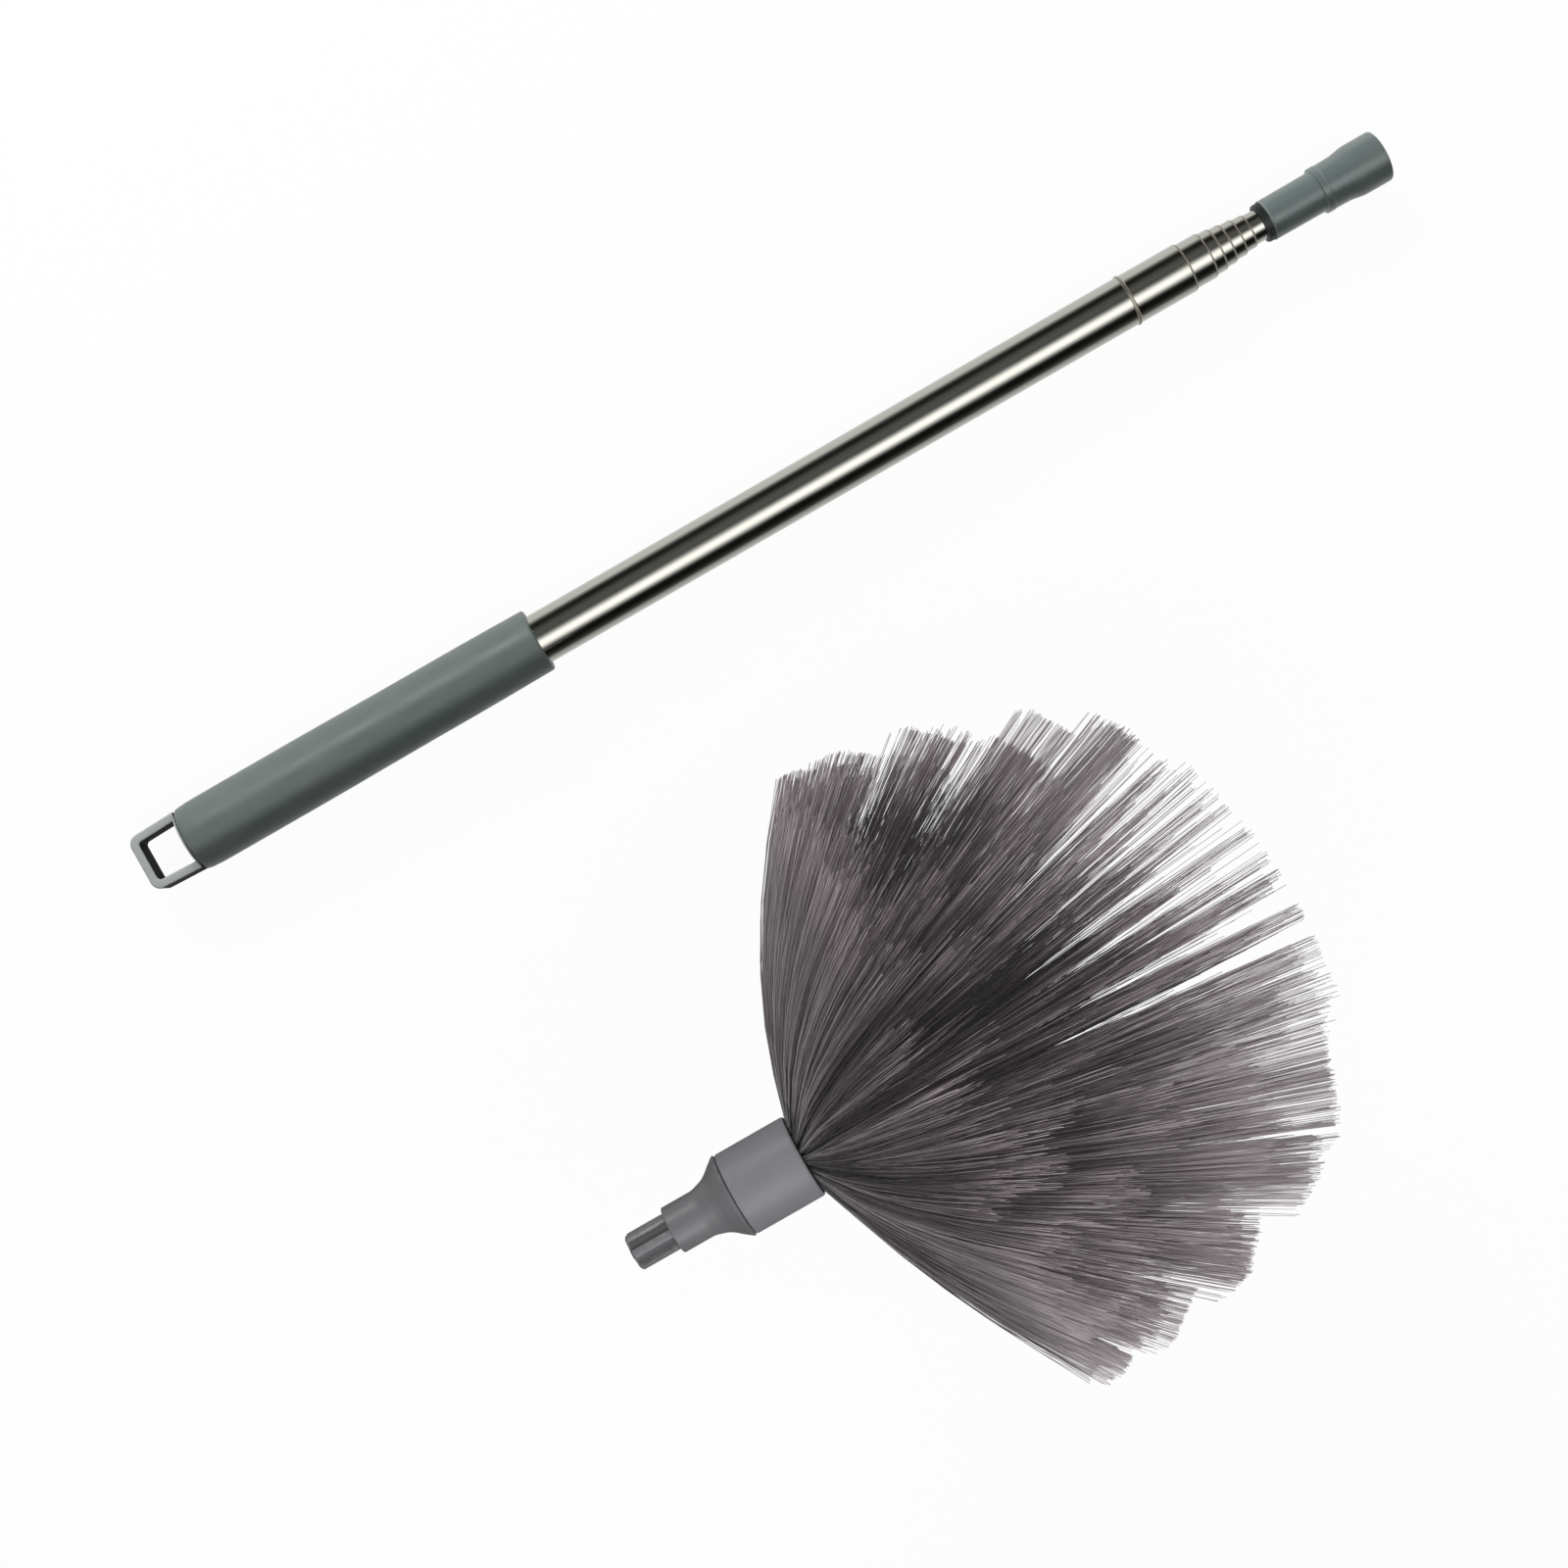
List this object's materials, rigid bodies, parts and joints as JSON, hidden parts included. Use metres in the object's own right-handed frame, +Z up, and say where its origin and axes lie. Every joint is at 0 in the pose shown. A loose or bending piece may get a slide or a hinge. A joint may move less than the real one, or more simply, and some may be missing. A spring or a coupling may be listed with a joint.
{
  "type": "telescopic duster",
  "caption": "Collapsing steel pole with a sleeve grip, hanging loop and tip socket, and a push-on dome-shaped bristle head that lies beside it.",
  "frame": {"origin": "middle of the hanging loop's flat outer end face, on the pole's axis", "axes": "+X along the pole from the loop to the socket, +Z up, away from the surface that the part lies on"},
  "size_m": [0.6, 0.3758, 0.2583],
  "materials": {
    "loop_plastic": "satin moulded",
    "grip_plastic": "satin sleeve",
    "tube_steel": "polished stainless",
    "bush_nylon": "natural nylon",
    "socket_plastic": "satin moulded",
    "head_plastic": "satin moulded",
    "screw_steel": "zinc plated",
    "bristle_fibre": "fine filament"
  },
  "bodies": {
    "handle": {"hanging_loop": "loop_plastic", "handle_grip": "grip_plastic", "tube_1": "tube_steel"},
    "section_2": {"tube_2": "tube_steel", "rear_bush_2": "bush_nylon"},
    "section_3": {"tube_3": "tube_steel", "rear_bush_3": "bush_nylon"},
    "section_4": {"tube_4": "tube_steel", "rear_bush_4": "bush_nylon"},
    "section_5": {"tube_5": "tube_steel", "rear_bush_5": "bush_nylon"},
    "section_6": {"tube_6": "tube_steel", "rear_bush_6": "bush_nylon"},
    "section_7": {"tube_7": "tube_steel", "rear_bush_7": "bush_nylon", "tip_socket": "socket_plastic"},
    "brush_head": {"plug_adapter": "head_plastic", "ferrule": "head_plastic", "hub_screw": "screw_steel", "bristle_core": "bristle_fibre", "bristle_sector_1": "bristle_fibre", "bristle_sector_2": "bristle_fibre", "bristle_sector_3": "bristle_fibre", "bristle_sector_4": "bristle_fibre", "bristle_sector_5": "bristle_fibre", "bristle_sector_6": "bristle_fibre"}
  },
  "joints": [
    {"name": "tube_2_slide", "type": "slide", "parent": "handle", "child": "section_2", "axis": [1, 0, 0], "range_m": [0, 0.4]},
    {"name": "tube_3_slide", "type": "slide", "parent": "section_2", "child": "section_3", "axis": [1, 0, 0], "range_m": [0, 0.4]},
    {"name": "tube_4_slide", "type": "slide", "parent": "section_3", "child": "section_4", "axis": [1, 0, 0], "range_m": [0, 0.4]},
    {"name": "tube_5_slide", "type": "slide", "parent": "section_4", "child": "section_5", "axis": [1, 0, 0], "range_m": [0, 0.4]},
    {"name": "tube_6_slide", "type": "slide", "parent": "section_5", "child": "section_6", "axis": [1, 0, 0], "range_m": [0, 0.4]},
    {"name": "tube_7_slide", "type": "slide", "parent": "section_6", "child": "section_7", "axis": [1, 0, 0], "range_m": [0, 0.4]},
    {"name": "brush_head_lift", "type": "slide", "parent": "section_6", "child": "brush_head", "axis": [0.9581, 0.2571, -0.1261], "range_m": [0, 0.90459]}
  ]
}
